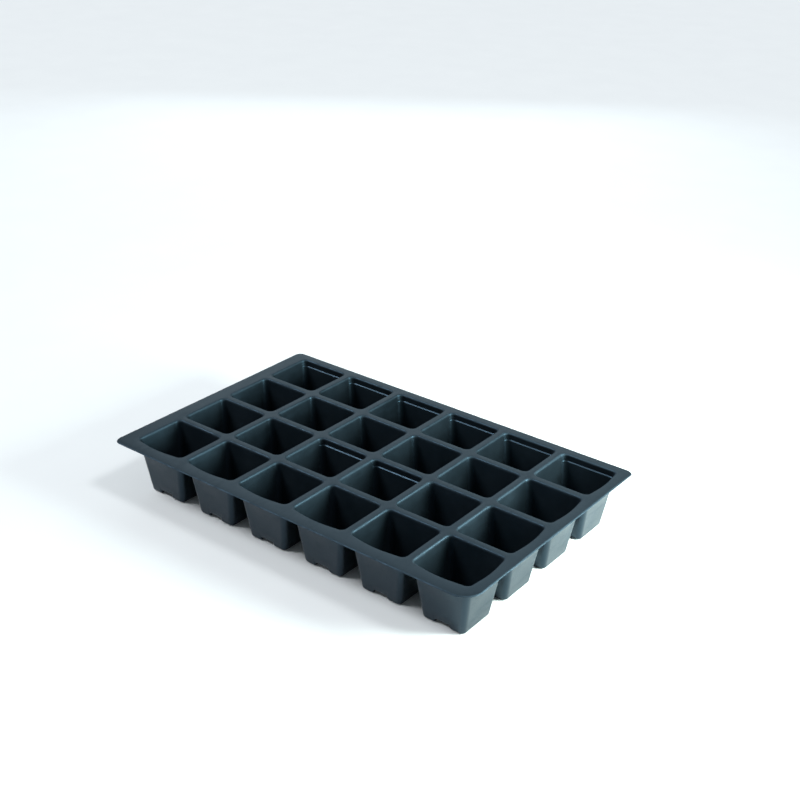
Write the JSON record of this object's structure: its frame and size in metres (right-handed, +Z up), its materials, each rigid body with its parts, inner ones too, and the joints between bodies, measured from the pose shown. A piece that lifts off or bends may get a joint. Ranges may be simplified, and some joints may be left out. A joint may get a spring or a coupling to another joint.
{
  "type": "plug tray",
  "caption": "Black formed-plastic plug tray: square tapered cells with drain channels and holes under a flat flanged sheet.",
  "frame": {"origin": "on the plane of the feet, under the centre of the tray's outline", "axes": "+X along the long side towards the end with the one large corner radius, +Y along the short side towards the back row of cells, +Z up out of the cells"},
  "size_m": [0.3604, 0.2328, 0.0485],
  "materials": {
    "black_plastic": "satin"
  },
  "bodies": {
    "root": {"front_flange": "black_plastic", "back_flange": "black_plastic", "left_flange": "black_plastic", "right_flange": "black_plastic", "row_web_1": "black_plastic", "row_web_2": "black_plastic", "row_web_3": "black_plastic", "cross_webs_1": "black_plastic", "cross_webs_2": "black_plastic", "cross_webs_3": "black_plastic", "cross_webs_4": "black_plastic", "cell_r1c1": "black_plastic", "cell_r1c2": "black_plastic", "cell_r1c3": "black_plastic", "cell_r1c4": "black_plastic", "cell_r1c5": "black_plastic", "cell_r1c6": "black_plastic", "cell_r2c1": "black_plastic", "cell_r2c2": "black_plastic", "cell_r2c3": "black_plastic", "cell_r2c4": "black_plastic", "cell_r2c5": "black_plastic", "cell_r2c6": "black_plastic", "cell_r3c1": "black_plastic", "cell_r3c2": "black_plastic", "cell_r3c3": "black_plastic", "cell_r3c4": "black_plastic", "cell_r3c5": "black_plastic", "cell_r3c6": "black_plastic", "cell_r4c1": "black_plastic", "cell_r4c2": "black_plastic", "cell_r4c3": "black_plastic", "cell_r4c4": "black_plastic", "cell_r4c5": "black_plastic", "cell_r4c6": "black_plastic"}
  },
  "joints": []
}
